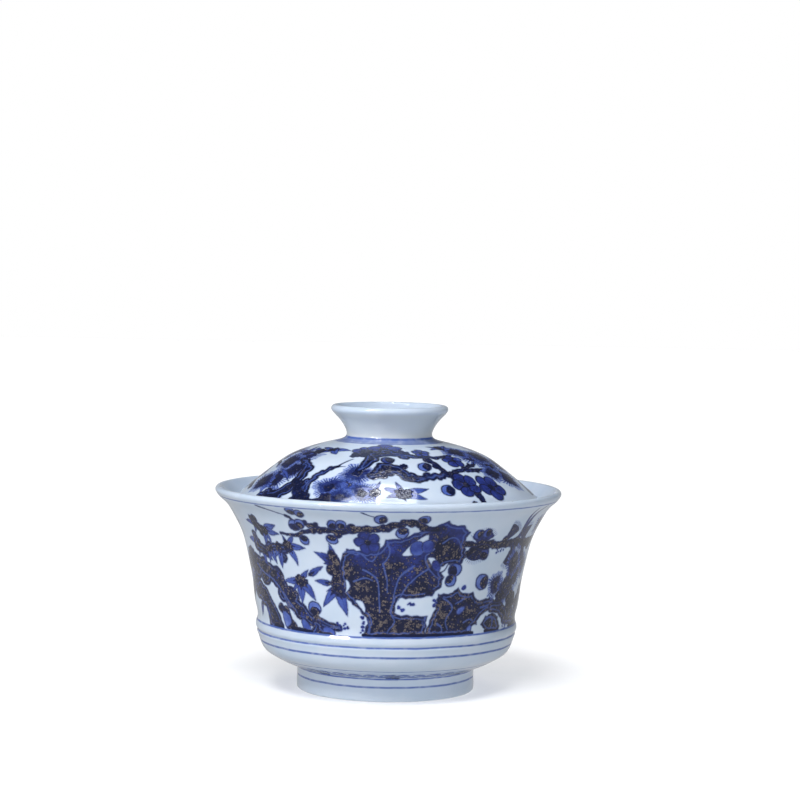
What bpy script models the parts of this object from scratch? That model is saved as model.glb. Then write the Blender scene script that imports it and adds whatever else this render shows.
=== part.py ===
"""Gaiwan: a lidded tea bowl of glazed porcelain, about 100 mm across and 82 mm tall.

Four turned pieces of clay share one upright axis: the bowl and its foot ring, and the lid and
the ring that serves as its knob. The foot ring is luted to the bowl and the knob to the lid, so
the gaiwan comes apart in two: the lid lifts straight off the bowl.

Metres, +Z up. The origin is on the axis, in the plane that the foot ring stands on.
"""

import math

import bmesh
import bpy
from mathutils import Vector
from mathutils.geometry import interpolate_bezier

MM = 0.001
LUTE_GAP = 0.3 * MM  # the slip joint between two pieces of clay

# Bowl: radii and heights above the plane that it stands on.
RIM_RADIUS = 50.2 * MM
RIM_HEIGHT = 58.6 * MM
LIP_ROUND = 1.0 * MM
BEAD_RADIUS = 37.9 * MM
BEAD_HEIGHT = 18.7 * MM
SEAT_RADIUS = 26.3 * MM  # the flat underside that the foot ring is luted to
SEAT_HEIGHT = 6.7 * MM
FLOOR_HEIGHT = 9.0 * MM  # inside, on the axis

# Foot ring.
FOOT_RADIUS = 25.75 * MM
FOOT_BORE = 23.0 * MM
FOOT_EDGE = 0.5 * MM

# Lid: heights above its own lowest edge, which sits inside the bowl's flare.
LID_SEAT = 54.0 * MM
LID_RADIUS = 44.6 * MM
LID_EDGE_ROUND = 0.9 * MM
CROWN_RADIUS = 13.6 * MM  # the flat top that the knob is luted to
CROWN_HEIGHT = 18.6 * MM
LID_HOLLOW = 16.1 * MM  # inside, on the axis

# Knob: heights above its own seat.
KNOB_HEIGHT = 9.55 * MM
KNOB_RADIUS = 16.9 * MM
KNOB_LIP_ROUND = 1.1 * MM
KNOB_BORE = 10.2 * MM
KNOB_BORE_DEPTH = 1.2 * MM  # the straight part of the bore, above the seat

STEPS_WIDE = 64  # facets round the bowl, the foot and the lid
STEPS_NARROW = 40  # facets round the knob
SHARP_ANGLE = math.radians(35)


def millimetres(*pairs):
    """Profile points, each a radius and a height."""
    return [Vector((radius * MM, 0.0, height * MM)) for radius, height in pairs]


def point(radius, height):
    return Vector((radius, 0.0, height))


def arc(centre_radius, centre_height, size, start, end, parts):
    """Points on a round edge, from one angle to the other in degrees, both ends included."""
    points = []
    for index in range(parts + 1):
        angle = math.radians(start + (end - start) * index / parts)
        reach = centre_radius + size * math.cos(angle)
        points.append(point(reach, centre_height + size * math.sin(angle)))
    return points


def curve_through(knots, parts):
    """A smooth curve through the knots, with `parts` pieces between each two of them."""
    tangents = []
    for index in range(len(knots)):
        before = knots[max(index - 1, 0)]
        after = knots[min(index + 1, len(knots) - 1)]
        tangents.append((after - before).normalized())
    points = [knots[0]]
    for index in range(len(knots) - 1):
        start = knots[index]
        end = knots[index + 1]
        reach = (end - start).length / 3
        start_handle = start + tangents[index] * reach
        end_handle = end - tangents[index + 1] * reach
        points += interpolate_bezier(start, start_handle, end_handle, end, parts + 1)[1:]
    return points


def material(name, colour, roughness):
    made = bpy.data.materials.new(name)
    made.use_nodes = True
    shader = made.node_tree.nodes["Principled BSDF"]
    shader.inputs["Base Color"].default_value = (*colour, 1.0)
    shader.inputs["Roughness"].default_value = roughness
    shader.inputs["Metallic"].default_value = 0.0
    made.diffuse_color = (*colour, 1.0)
    return made


def turned(name, profile, steps, glaze, closed=False):
    """A piece turned round the upright axis. Its profile runs down the outer side."""
    mesh = bpy.data.meshes.new(name)
    shape = bmesh.new()
    corners = [shape.verts.new(place) for place in profile]
    for first, second in zip(corners, corners[1:]):
        shape.edges.new((first, second))
    if closed:
        shape.edges.new((corners[-1], corners[0]))
    shape.to_mesh(mesh)
    shape.free()
    piece = bpy.data.objects.new(name, mesh)
    bpy.context.scene.collection.objects.link(piece)
    piece.data.materials.append(glaze)
    screw = piece.modifiers.new("turn", "SCREW")
    screw.axis = "Z"
    screw.angle = 2 * math.pi
    screw.steps = steps
    screw.render_steps = steps
    screw.use_merge_vertices = True
    screw.merge_threshold = 0.01 * MM
    screw.use_smooth_shade = True
    apply_modifiers(piece)
    piece.data.shade_smooth()
    piece.data.set_sharp_from_angle(angle=SHARP_ANGLE)
    return piece


def apply_modifiers(piece):
    graph = bpy.context.evaluated_depsgraph_get()
    result = bpy.data.meshes.new_from_object(piece.evaluated_get(graph))
    piece.modifiers.clear()
    piece.data = result


def empty(name, height):
    """A datum on the axis, which a lifted piece is parented to."""
    datum = bpy.data.objects.new(name, None)
    datum.location = (0.0, 0.0, height)
    datum.empty_display_size = 10 * MM
    bpy.context.scene.collection.objects.link(datum)
    return datum


def bowl_inside():
    """Up the inner wall, from the floor on the axis to the lip."""
    hub = point(0, FLOOR_HEIGHT)
    knots = millimetres(
        (12, 9.2), (22, 10.1), (29, 12.4), (33, 16.2), (34.9, 21.5), (36.1, 29.6), (37.4, 36.7),
        (39.0, 42.9), (41.3, 48.9), (42.9, 51.6), (45.0, 54.4), (47.0, 56.7),
    )
    return curve_through([hub] + knots, 1)


def bowl_outside():
    """Down the flared wall from the lip, over the bead, and under to the foot's seat."""
    wall = curve_through(
        millimetres(
            (49.3, 56.0), (47.35, 54.2), (44.95, 50.7), (42.3, 45.4), (40.4, 38.4), (39.0, 31.4),
            (38.0, 24.4), (37.5, 20.4),
        ),
        2,
    )
    bead = curve_through([wall[-1], *millimetres((37.8, 19.7)), point(BEAD_RADIUS, BEAD_HEIGHT)], 1)
    below = curve_through(
        [bead[-1], *millimetres((37.5, 17.2), (37.1, 15.4), (36.3, 13.3), (35.4, 11.3))], 1
    )
    under = curve_through(millimetres((35.4, 11.3), (34.1, 10.5), (30.6, 8.5), (27.4, 7.2)), 1)
    return wall + bead[1:] + below[1:] + under[1:] + [point(SEAT_RADIUS, SEAT_HEIGHT)]


def bowl_body(glaze):
    lip = arc(RIM_RADIUS - LIP_ROUND, RIM_HEIGHT - LIP_ROUND, LIP_ROUND, 138, -36, 6)
    hub = [point(0, SEAT_HEIGHT)]
    return turned("bowl_body", bowl_inside() + lip + bowl_outside() + hub, STEPS_WIDE, glaze)


def foot_ring(glaze):
    """A ring with straight sides. It stands on the flat land between its two rounded edges."""
    top = SEAT_HEIGHT - LUTE_GAP
    outer_edge = arc(FOOT_RADIUS - FOOT_EDGE, FOOT_EDGE, FOOT_EDGE, 0, -90, 3)
    inner_edge = arc(FOOT_BORE + FOOT_EDGE, FOOT_EDGE, FOOT_EDGE, -90, -180, 3)
    top_face = [point(FOOT_BORE - FOOT_EDGE, top), point(FOOT_RADIUS, top)]
    return turned("foot_ring", top_face + outer_edge + inner_edge, STEPS_WIDE, glaze, closed=True)


def lid_dome(glaze):
    crown = point(0, CROWN_HEIGHT)
    slope = millimetres(
        (16.2, 17.8), (20, 16.9), (25.4, 15.1), (29.7, 13.0), (33.8, 9.8), (38.0, 6.2), (42.0, 3.1)
    )
    outside = curve_through([point(CROWN_RADIUS, CROWN_HEIGHT)] + slope, 1)
    edge = arc(LID_RADIUS - LID_EDGE_ROUND, LID_EDGE_ROUND, LID_EDGE_ROUND, 52, -128, 5)
    inside = curve_through(
        millimetres(
            (40.9, 1.2), (36.6, 4.4), (32.4, 8.1), (28.6, 10.8), (24.6, 12.9), (19.4, 14.6),
            (10, 15.9),
        ),
        1,
    )
    hub = point(0, LID_HOLLOW)
    return turned("lid_dome", [crown] + outside + edge + inside + [hub], STEPS_WIDE, glaze)


def lid_knob(glaze):
    """A flared ring, open at the top like a small trumpet. The lid's crown closes it below."""
    lip_radius = KNOB_RADIUS - KNOB_LIP_ROUND
    lip = arc(lip_radius, KNOB_HEIGHT - KNOB_LIP_ROUND, KNOB_LIP_ROUND, 140, -40, 6)
    outside = curve_through(
        millimetres((14.9, 5.8), (13.5, 4.0), (12.6, 2.3), (12.35, 1.1), (12.6, 0.4), (13.2, 0)), 1
    )
    bore = [point(KNOB_BORE, 0), point(KNOB_BORE, KNOB_BORE_DEPTH)]
    inside = curve_through(bore + millimetres((10.6, 3.0), (12.1, 5.8), (13.9, 8.0)), 1)
    return turned("lid_knob", inside + lip + outside, STEPS_NARROW, glaze, closed=True)


def clear_scene():
    for old in list(bpy.data.objects):
        bpy.data.objects.remove(old, do_unlink=True)


def build():
    clear_scene()
    bowl_body(material("painted_bowl_glaze", (0.56, 0.65, 0.80), 0.08))
    foot_ring(material("plain_foot_glaze", (0.62, 0.69, 0.80), 0.10))
    lid_datum = empty("lid_lift", LID_SEAT)
    dome = lid_dome(material("painted_lid_glaze", (0.50, 0.60, 0.79), 0.08))
    dome.parent = lid_datum
    knob = lid_knob(material("plain_knob_glaze", (0.62, 0.71, 0.84), 0.08))
    knob.parent = lid_datum
    knob.location = (0.0, 0.0, CROWN_HEIGHT + LUTE_GAP)


build()
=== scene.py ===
"""The looks of a blue-and-white porcelain gaiwan: two glazed skins over the CAD frame.

Each skin is one turned surface. The painting is worked out as signed distances in millimetres on
a fine grid of the skin's points, one brush stroke after another, and the glaze's nodes turn those
distances into washes, heaped cobalt, outlines and pale veins.
"""

import math

import bpy
import numpy as np
from mathutils import Matrix, Vector


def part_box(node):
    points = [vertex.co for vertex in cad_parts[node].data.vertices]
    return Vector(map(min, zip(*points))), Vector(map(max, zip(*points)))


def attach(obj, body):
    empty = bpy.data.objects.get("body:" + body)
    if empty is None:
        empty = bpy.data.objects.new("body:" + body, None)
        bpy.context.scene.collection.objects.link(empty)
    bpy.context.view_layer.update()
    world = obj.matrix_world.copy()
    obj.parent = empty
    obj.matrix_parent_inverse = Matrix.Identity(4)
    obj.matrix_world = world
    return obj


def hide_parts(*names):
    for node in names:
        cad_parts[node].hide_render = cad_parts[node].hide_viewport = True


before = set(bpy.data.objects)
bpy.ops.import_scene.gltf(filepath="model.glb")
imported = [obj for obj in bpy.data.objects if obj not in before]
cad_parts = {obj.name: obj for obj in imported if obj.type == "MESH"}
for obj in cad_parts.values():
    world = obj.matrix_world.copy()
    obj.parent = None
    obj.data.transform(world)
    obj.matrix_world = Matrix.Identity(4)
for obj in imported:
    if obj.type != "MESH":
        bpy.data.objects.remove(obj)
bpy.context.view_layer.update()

MM = 0.001
FINE = 1280  # columns round a painted stretch, about 0.2 mm apart
PLAIN = 320  # columns round a plain stretch
FAR = 1.0  # the signed distance, in millimetres, that means no paint near
MARGIN = 1.5  # how far, in millimetres, a stroke's window reaches past it
TINY = 1e-9
SOLID = 2.2  # an ink so heavy that it has no crust
FAN_NEEDLES = 15


# ---------------------------------------------------------------------------------------------
# Turned profiles. Each stretch is (name, knots, spacing, columns); a knot is (radius, height) in
# millimetres, and each stretch starts where the one before it ended.


def arc(radius, height, size, start, end, parts):
    """Knots on a round edge, from one angle to the other in degrees."""
    angles = np.radians(np.linspace(start, end, parts + 1))
    return [(radius + size * math.cos(a), height + size * math.sin(a)) for a in angles]


BOWL_STRETCHES = (
    ("inside", [
        (0, 9.0), (6, 9.03), (12, 9.2), (22, 10.1), (29, 12.4), (33, 16.2), (34.9, 21.5),
        (36.1, 29.6), (37.4, 36.7), (39.0, 42.9), (41.3, 48.9), (42.9, 51.6), (45.0, 54.4),
        (47.0, 56.7),
    ], 0.9, PLAIN),
    ("lip", arc(49.2, 57.6, 1.0, 138, -36, 8), 0.16, PLAIN),
    ("flare", [(49.3, 56.0)], 0.25, PLAIN),
    ("wall", [
        (47.35, 54.2), (44.95, 50.7), (42.3, 45.4), (40.4, 38.4), (39.0, 31.4), (38.0, 24.4),
        (37.52, 20.5), (37.66, 20.0),
    ], 0.2, FINE),
    ("bead", [
        (37.88, 19.4), (37.95, 18.7), (37.8, 17.9), (37.44, 17.3), (37.56, 16.8), (37.38, 16.1),
        (37.0, 15.0), (36.4, 13.3), (35.7, 12.0), (34.7, 10.95), (33.6, 10.25),
    ], 0.22, PLAIN),
    ("under", [(30.6, 8.6), (27.6, 7.35), (26.5, 6.9), (25.95, 6.45), (25.75, 5.8)], 0.2, FINE),
    ("foot", [
        (25.75, 3.0), *arc(25.25, 0.5, 0.5, 0, -90, 3), *arc(23.5, 0.5, 0.5, -90, -180, 3),
        (22.85, 3.0), (22.6, 5.4),
    ], 0.3, PLAIN),
    ("recess", [(22.3, 6.3), (21.5, 6.65), (19, 6.7), (8, 6.7), (0, 6.7)], 1.0, PLAIN),
)
LID_STRETCHES = (
    ("dish", [
        (0, 72.75), (4, 72.75), (8.4, 72.8), (9.7, 73.1), (10.2, 74.1), (10.6, 75.9), (12.1, 78.7),
        (13.9, 80.9),
    ], 0.5, PLAIN),
    ("knob", [
        *arc(15.8, 81.35, 1.1, 140, -40, 8), (14.9, 78.7), (13.5, 76.9), (12.6, 75.2),
        (12.35, 74.1), (12.55, 73.35), (13.1, 72.85),
    ], 0.25, PLAIN),
    ("dome", [
        (14.0, 72.45), (16.2, 71.85), (20, 70.9), (25.4, 69.1), (29.7, 67.0), (31.5, 65.72),
        (33.8, 63.96), (36.0, 62.22), (38.0, 60.58), (40.0, 58.9), (42.0, 57.22),
    ], 0.22, FINE),
    ("edge", arc(43.4, 54.9, 0.9, 50, -128, 7), 0.2, PLAIN),
    ("hollow", [
        (40.9, 55.2), (36.6, 58.4), (32.4, 62.1), (28.6, 64.8), (24.6, 66.9), (19.4, 68.6),
        (10, 69.9), (0, 70.1),
    ], 0.9, PLAIN),
)


def spline(times, values, wanted):
    """A natural cubic spline through the values, read at the wanted times."""
    gaps = np.diff(times)
    slopes = np.diff(values, axis=0) / gaps[:, None]
    count = len(times)
    system = np.eye(count)
    target = np.zeros((count, values.shape[1]))
    for row in range(1, count - 1):
        system[row, row - 1: row + 2] = gaps[row - 1], 2 * (gaps[row - 1] + gaps[row]), gaps[row]
        target[row] = 6 * (slopes[row] - slopes[row - 1])
    bends = np.linalg.solve(system, target)
    index = np.clip(np.searchsorted(times, wanted, side="right") - 1, 0, count - 2)
    left = ((times[index + 1] - wanted) / gaps[index])[:, None]
    right = 1 - left
    bow = (left ** 3 - left) * bends[index] + (right ** 3 - right) * bends[index + 1]
    line = left * values[index] + right * values[index + 1]
    return line + bow * (gaps[index] ** 2)[:, None] / 6


def lengths_along(points):
    """How far along its line each point is, from 0 at the first."""
    return np.concatenate([[0.0], np.cumsum(np.linalg.norm(np.diff(points, axis=0), axis=1))])


class Profile:
    """A turned outline: points in millimetres, outward normals, and how many points each turns to."""

    SLOPE_STEP = 0.02  # how far, in millimetres, each side of a point its slope is taken over

    def __init__(self, stretches):
        knots = np.array([knot for _, part, _, _ in stretches for knot in part], float)
        times = lengths_along(knots)
        wanted = []
        self.stretch = []
        self.columns = []
        first = 0
        for name, part, spacing, columns in stretches:
            last = first + len(part)
            start, end = times[max(first - 1, 0)], times[last - 1]
            count = max(int(math.ceil((end - start) / spacing)), 2)
            wanted += list(np.linspace(start, end, count + 1)[:-1])
            self.stretch += [name] * count
            self.columns += [columns] * count
            first = last
        self.stretch.append(name)
        self.columns.append(columns)
        wanted = np.array(wanted + [times[-1]])
        self.points = spline(times, knots, wanted)
        self.points[[0, -1], 0] = 0.0
        ahead = spline(times, knots, np.clip(wanted + self.SLOPE_STEP, 0, times[-1]))
        behind = spline(times, knots, np.clip(wanted - self.SLOPE_STEP, 0, times[-1]))
        run = ahead - behind
        run /= np.linalg.norm(run, axis=1)[:, None]
        self.normals = np.column_stack([-run[:, 1], run[:, 0]])
        for end in (0, -1):
            self.normals[end] = 0, np.sign(self.normals[end, 1])
        self.along = lengths_along(self.points)
        self.counts = np.where(self.points[:, 0] == 0, 1, self.columns)
        self.starts = np.cumsum(self.counts) - self.counts

    def rings(self, name):
        return np.array([ring for ring, stretch in enumerate(self.stretch) if stretch == name])

    def along_at(self, name, radius=None, height=None):
        """How far along the outline a stretch first meets a radius or a height."""
        rings = self.rings(name)
        rings = np.append(rings, min(rings[-1] + 1, len(self.points) - 1))
        gaps = self.points[rings, 0] - radius if height is None else self.points[rings, 1] - height
        crossing = int(np.flatnonzero(gaps[:-1] * gaps[1:] <= 0)[0])
        share = gaps[crossing] / (gaps[crossing] - gaps[crossing + 1])
        start, end = self.along[rings[crossing: crossing + 2]]
        return float(start + share * (end - start))

    def fit(self, low, high):
        """Stretches the outline to the box of the CAD pieces that it covers."""
        reach = self.points[:, 0].max()
        bottom, top = self.points[:, 1].min(), self.points[:, 1].max()
        self.points[:, 0] *= high.x / MM / reach
        spread = (high.z - low.z) / MM / (top - bottom)
        self.points[:, 1] = low.z / MM + (self.points[:, 1] - bottom) * spread


def turned_round(pairs, counts):
    """Each (out, up) pair turned round the axis, from the front to the right, as x, y and z."""
    made = []
    for (out, up), count in zip(pairs, counts):
        angles = np.arange(count) * 2 * math.pi / count
        made.append(np.column_stack([out * np.sin(angles), -out * np.cos(angles), np.full(count, up)]))
    return np.concatenate(made)


def turned_skin(name, profile, layers):
    """A closed mesh turned from the profile. `layers` maps a name to one value for each point."""
    faces = [face for ring in range(len(profile.counts) - 1) for face in faces_below(profile, ring)]
    mesh = bpy.data.meshes.new(name)
    places = turned_round(profile.points, profile.counts) * MM
    mesh.from_pydata(places.tolist(), [], faces)
    for layer, values in layers.items():
        attribute = mesh.attributes.new(layer, "FLOAT", "POINT")
        attribute.data.foreach_set("value", values.astype(np.float32))
    mesh.shade_smooth()
    normals = turned_round(profile.normals, profile.counts)
    mesh.normals_split_custom_set_from_vertices(normals.tolist())
    skin = bpy.data.objects.new(name, mesh)
    bpy.context.scene.collection.objects.link(skin)
    return skin


def faces_below(profile, ring):
    """The faces from a ring to the next: a fan at the axis, or cells that join their columns.

    Neighbouring rings may have different columns, one a whole multiple of the other. Each cell
    then has extra corners on one side.
    """
    upper, lower = profile.starts[ring: ring + 2].tolist()
    many, few = profile.counts[ring: ring + 2].tolist()
    if many == 1:
        return [(upper, lower + j, lower + (j + 1) % few) for j in range(few)]
    if few == 1:
        return [(upper + j, lower, upper + (j + 1) % many) for j in range(many)]
    cells = min(many, few)
    above, below = many // cells, few // cells
    faces = []
    for cell in range(cells):
        down = [lower + (cell * below + k) % few for k in range(below + 1)]
        back = [upper + (cell * above + k) % many for k in range(above, -1, -1)]
        faces.append(tuple(down + back))
    return faces


# ---------------------------------------------------------------------------------------------
# The painting's canvas.


def ripple(shape, cells, seed):
    """Smooth noise from -1 to 1 over an array whose columns wrap round."""
    rows, columns = shape
    grid = np.random.default_rng(seed).uniform(-1, 1, (cells[0] + 2, cells[1]))
    y = np.linspace(0, cells[0], rows)[:, None]
    x = (np.arange(columns) * cells[1] / columns)[None, :]
    top, left = y.astype(int), x.astype(int)
    v, u = y - top, x - left
    u, v = u * u * (3 - 2 * u), v * v * (3 - 2 * v)
    right = (left + 1) % cells[1]
    upper = grid[top, left] * (1 - u) + grid[top, right] * u
    lower = grid[top + 1, left] * (1 - u) + grid[top + 1, right] * u
    return upper * (1 - v) + lower * v


class Canvas:
    """A painted stretch, unrolled. Places on it are (degrees, level): the angle runs from the
    front to the right, and the level is the height on the bowl and the radius on the lid."""

    def __init__(self, profile, stretch, level, seed):
        self.rings = profile.rings(stretch)
        self.radius = profile.points[self.rings, 0][:, None]
        self.level = profile.points[self.rings, level]
        self.rise = (profile.along[self.rings[-1]] - profile.along[self.rings])[:, None]
        self.angle = np.arange(FINE) * 360 / FINE
        shape = (len(self.rings), FINE)
        self.paint = np.full(shape, FAR)
        self.ink = np.zeros(shape)
        self.line = np.full(shape, FAR)
        self.vein = np.full(shape, FAR)
        tall = int(self.rise[0, 0])
        broad = int(self.radius.mean() * 2 * math.pi)
        self.sway = self.tremble(tall, broad, seed)
        self.bob = self.tremble(tall, broad, seed + 2)

    def tremble(self, tall, broad, seed):
        """How far the hand strays at each point, in millimetres: slow swings and quick ones."""
        slow = ripple(self.ink.shape, (max(tall // 4, 2), broad // 4), seed)
        quick = ripple(self.ink.shape, (max(tall, 3), broad), seed + 1)
        return 0.30 * slow + 0.10 * quick

    def at(self, level):
        """The radius and the rise at a level."""
        order = np.argsort(self.level)
        levels = self.level[order]
        radius = np.interp(level, levels, self.radius[order, 0])
        return radius, np.interp(level, levels, self.rise[order, 0])

    def window(self, angle, rise, wide, tall):
        """The part of the canvas within `wide` and `tall` millimetres of a centre."""
        rows = np.flatnonzero(np.abs(self.rise[:, 0] - rise) <= tall)
        if not len(rows):
            rows = np.array([0])
        turned = (self.angle - angle + 180) % 360 - 180
        narrow = self.radius[rows, 0].min()
        columns = np.flatnonzero(np.abs(np.radians(turned)) * narrow <= wide)
        columns = columns[np.argsort(turned[columns])]
        return Patch(self, rows, columns, turned[columns], rise)

    def near(self, place, reach):
        """The part of the canvas within `reach` millimetres of a place."""
        angle, level = place
        return self.window(angle, self.at(level)[1], reach, reach)

    def over(self, places, margin=MARGIN):
        """The part of the canvas that holds all these places, and the places in its own u, v."""
        angles = np.array([angle for angle, _ in places], float)
        spots = np.array([self.at(level) for _, level in places])
        middle = (angles.min() + angles.max()) / 2
        u = np.radians(angles - middle) * spots[:, 0]
        rise = (spots[:, 1].min() + spots[:, 1].max()) / 2
        v = spots[:, 1] - rise
        patch = self.window(middle, rise, np.abs(u).max() + margin, np.abs(v).max() + margin)
        return patch, np.column_stack([u, v])


class Patch:
    """A window on the canvas, with u to the right and v up, in millimetres from its centre."""

    def __init__(self, canvas, rows, columns, turned, rise):
        self.canvas = canvas
        self.index = np.ix_(rows, columns)
        self.u = np.radians(turned)[None, :] * canvas.radius[rows] + canvas.sway[self.index]
        self.v = canvas.rise[rows] - rise + canvas.bob[self.index]

    def disc(self, u, v, size):
        return np.hypot(self.u - u, self.v - v) - size

    def segment(self, a, b):
        """The share of the way from a to b that is nearest to each point, and how far off it is."""
        eu, ev = b[0] - a[0], b[1] - a[1]
        wu, wv = self.u - a[0], self.v - a[1]
        share = np.clip((wu * eu + wv * ev) / (eu * eu + ev * ev + TINY), 0, 1)
        return share, np.hypot(wu - share * eu, wv - share * ev)

    def outline(self, corners):
        """Signed distance to a closed outline, negative inside."""
        nearest = np.full(self.u.shape, np.inf)
        inside = np.zeros(self.u.shape, bool)
        for a, b in zip(corners, np.roll(corners, -1, axis=0)):
            nearest = np.minimum(nearest, self.segment(a, b)[1])
            rise = b[1] - a[1] or TINY
            crossing = (a[1] <= self.v) != (b[1] <= self.v)
            inside ^= crossing & (self.u - a[0] < (self.v - a[1]) / rise * (b[0] - a[0]))
        return np.where(inside, -nearest, nearest)

    def path(self, points, widths):
        """Signed distance to a stroke whose width changes from point to point."""
        nearest = np.full(self.u.shape, np.inf)
        halves = np.broadcast_to(np.asarray(widths, float) / 2, len(points))
        for a, b, start, end in zip(points, points[1:], halves, halves[1:]):
            share, gap = self.segment(a, b)
            nearest = np.minimum(nearest, gap - start - share * (end - start))
        return nearest

    def change(self, layer, choose, distance):
        """Joins a distance into one of the canvas's layers."""
        values = getattr(self.canvas, layer)
        values[self.index] = choose(values[self.index], distance)

    def fill(self, distance, ink):
        """Covers a shape with a wash. Ink runs from 0, palest, to 1, heaped, and SOLID is plain black."""
        soak = 0.1
        self.change("ink", lambda old, gap: np.where(gap < soak, ink, old), distance)
        self.change("line", np.maximum, -distance)
        self.change("vein", np.maximum, -distance)
        self.change("paint", np.minimum, distance)

    def reserve(self, distance):
        """Clears a shape back to bare porcelain."""
        for layer in ("paint", "line", "vein"):
            self.change(layer, np.maximum, -distance)

    def draw(self, distance):
        """Adds a dark line along a stroke."""
        self.change("line", np.minimum, distance)

    def edge(self, distance, width):
        """Draws a dark line along a shape's outline."""
        self.draw(np.abs(distance) - width / 2)

    def lift(self, distance):
        """Adds a pale line that shows through a dark wash."""
        self.change("vein", np.minimum, distance)


def turn(u, v, degrees):
    angle = math.radians(degrees)
    return u * math.cos(angle) - v * math.sin(angle), u * math.sin(angle) + v * math.cos(angle)


def rounded(points, parts=5, closed=False):
    """More points on a smooth curve through the given ones."""
    points = np.asarray(points, float)
    if not closed:
        times = lengths_along(points)
        return spline(times, points, np.linspace(0, times[-1], parts * (len(points) - 1) + 1))
    ring = np.concatenate([points[-2:], points, points[:3]])
    times = lengths_along(ring)
    wanted = np.linspace(times[2], times[2 + len(points)], parts * len(points) + 1)[:-1]
    return spline(times, ring, wanted)


def jagged(corners, tooth, step, dice):
    """An outline with small thorns, about one each `step` millimetres."""
    made = []
    for a, b in zip(corners, np.roll(corners, -1, axis=0)):
        run = b - a
        length = np.hypot(*run)
        out = np.array([run[1], -run[0]]) / max(length, TINY)
        count = max(int(round(length / step)), 1)
        for part in range(count):
            made.append(a + run * part / count)
            peak = tooth * dice.uniform(0.3, 1.0)
            made.append(a + run * (part + dice.uniform(0.35, 0.65)) / count + out * peak)
    return np.array(made)


# ---------------------------------------------------------------------------------------------
# Motifs. Places are (degrees, level), sizes are millimetres, and tilts are degrees.


def bud(canvas, place, size, tilt=0, ink=0.22):
    """A round bud: a pale ball, outlined, in a dark cup. A tilt of 0 puts the cup below."""
    patch = canvas.near(place, size * 2 + 1)
    ball = patch.disc(0, 0, size)
    patch.fill(ball, ink)
    cup = patch.disc(*turn(0, -0.62 * size, tilt), 0.86 * size)
    patch.fill(np.maximum(ball + 0.2, cup), 0.95)
    patch.edge(ball, 0.42)
    crescent = np.abs(patch.disc(*turn(0, -0.40 * size, tilt), 0.98 * size)) - 0.13
    patch.lift(np.maximum(crescent, ball + 0.45))


def blossom(canvas, place, size, tilt=0, ink=0.5):
    """Five round petals about a dark heart."""
    patch = canvas.near(place, size * 2 + 1)
    for petal in range(5):
        bearing = tilt + petal * 72
        middle = turn(0, size * 0.62, bearing)
        round_petal = patch.disc(*middle, size * 0.46)
        patch.fill(round_petal, ink)
        patch.edge(round_petal, 0.42)
        patch.draw(patch.path([turn(0, size * 0.15, bearing), middle], 0.2))
    patch.fill(patch.disc(0, 0, size * 0.24), 1.0)


def leaf(canvas, place, length, tilt, width=None, ink=0.38):
    """A bamboo leaf with a darker stalk end. A tilt of 0 points up and 90 to the left."""
    width = width or length * 0.3
    patch = canvas.near(place, length + MARGIN)
    share = np.linspace(0, 1, 11)
    half = width / 2 * np.sin(math.pi * share ** 0.72)
    side = list(zip(half, length * share))
    shape = [(-u, v) for u, v in side] + side[-2:0:-1]
    body = patch.outline(np.array([turn(u, v, tilt) for u, v in shape]))
    patch.fill(body, ink)
    patch.edge(body, 0.26)
    root = patch.path([turn(0, 0, tilt), turn(0, length * 0.42, tilt)], [width * 0.8, 0.1])
    patch.fill(np.maximum(body, root), 0.85)
    rib = [turn(0, length * 0.2, tilt), turn(0, length * 0.85, tilt)]
    patch.draw(patch.path(rib, [0.16, 0.08]))


def spray(canvas, place, knot, leaves):
    """Bamboo leaves round a dark knot. A leaf is (tilt, length)."""
    for tilt, length in leaves:
        leaf(canvas, place, length, tilt, min(2.6, length * 0.34))
    heap(canvas, place, knot, int(place[0] * 7 + place[1] * 3))


def heap(canvas, place, size, seed, ink=1.0):
    """A lumpy dark blob."""
    dice = np.random.default_rng(abs(seed) + 5)
    patch = canvas.near(place, size * 1.8 + 1)
    shape = patch.disc(0, 0, size * 0.7)
    for lump in range(6):
        u, v = turn(0, size * 0.62, lump * 60 + dice.uniform(-20, 20))
        shape = np.minimum(shape, patch.disc(u, v, size * dice.uniform(0.3, 0.5)))
    patch.fill(shape, ink)


def limb(canvas, places, widths, seed, ink=0.95, knots=True):
    """A gnarled branch through the places, with knots along it."""
    patch, points = canvas.over(places, max(widths) + 2)
    shares = np.linspace(0, 1, len(widths))
    points = rounded(points, 4)
    wide = np.interp(np.linspace(0, 1, len(points)), shares, widths)
    dice = np.random.default_rng(seed + 11)
    points[1:-1] += dice.normal(0, 0.16, points[1:-1].shape) * min(max(widths), 1.5)
    stroke = patch.path(points, wide)
    if knots:
        for point, width in zip(points[2:-1:3], wide[2:-1:3]):
            middle = point + dice.normal(0, width * 0.3, 2)
            stroke = np.minimum(stroke, patch.disc(*middle, width * dice.uniform(0.45, 0.7)))
    patch.fill(stroke, ink)
    patch.edge(stroke, 0.34)
    if max(widths) > 3:
        rind = np.maximum(np.abs(stroke + 0.85) - 0.2, canvas.sway[patch.index] - 0.12)
        patch.lift(rind)


def twig(canvas, places, width):
    """A thin dark stroke that tapers off."""
    patch, points = canvas.over(places)
    points = rounded(points, 4)
    patch.draw(patch.path(points, np.linspace(width, width * 0.4, len(points))))


def rock(canvas, places, ink, seed, tooth=0.5, step=2.6):
    """A mass with a thorny outline. The ink may be a function of the patch that it covers."""
    patch, corners = canvas.over(places)
    dice = np.random.default_rng(seed)
    shape = patch.outline(jagged(corners, tooth, step, dice))
    patch.fill(shape, ink(patch) if callable(ink) else ink)
    patch.edge(shape, 0.36)
    inner = np.abs(shape + 0.85) - 0.22
    patch.lift(np.maximum(inner, -canvas.bob[patch.index] * 2 - 0.45))


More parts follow.
